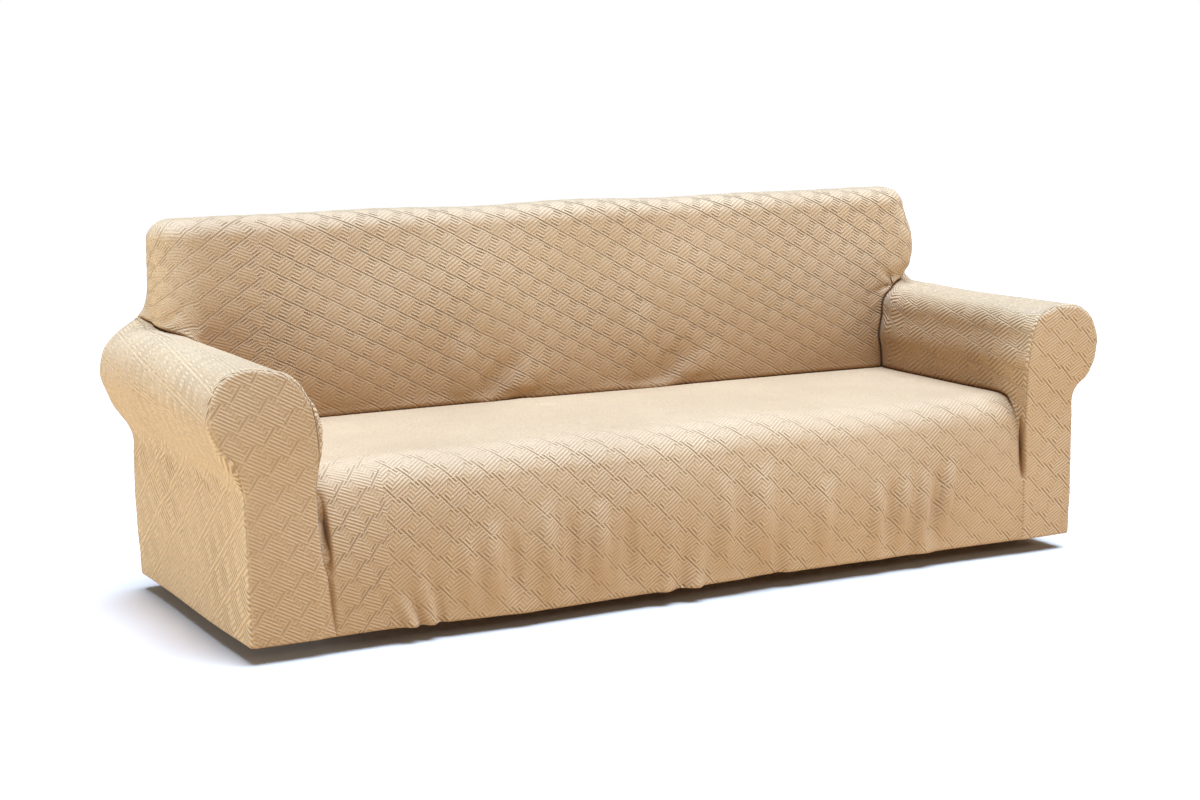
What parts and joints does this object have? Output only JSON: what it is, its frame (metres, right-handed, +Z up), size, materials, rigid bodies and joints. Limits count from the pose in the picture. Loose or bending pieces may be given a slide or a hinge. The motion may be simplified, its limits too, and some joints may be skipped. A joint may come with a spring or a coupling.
{
  "type": "sofa slipcover",
  "caption": "Fitted stretch cover for a wide sofa with rolled arms: seat and front drop, inside and outside back, arms and scroll arm fronts, in a relief jacquard cloth.",
  "frame": {"origin": "under the cloth at the top of the back, on the sofa's middle plane, where the sofa's back carries the cover", "axes": "+X along the sofa towards its right arm as seen from the front, +Y towards the rear, +Z up"},
  "size_m": [2.3572, 0.7838, 0.8492],
  "materials": {
    "cover_cloth": "matte relief jacquard knit"
  },
  "bodies": {
    "root": {"seat_front": "cover_cloth", "inside_back": "cover_cloth", "outside_back": "cover_cloth", "arm_left": "cover_cloth", "arm_right": "cover_cloth", "arm_front_left": "cover_cloth", "arm_front_right": "cover_cloth"}
  },
  "joints": []
}
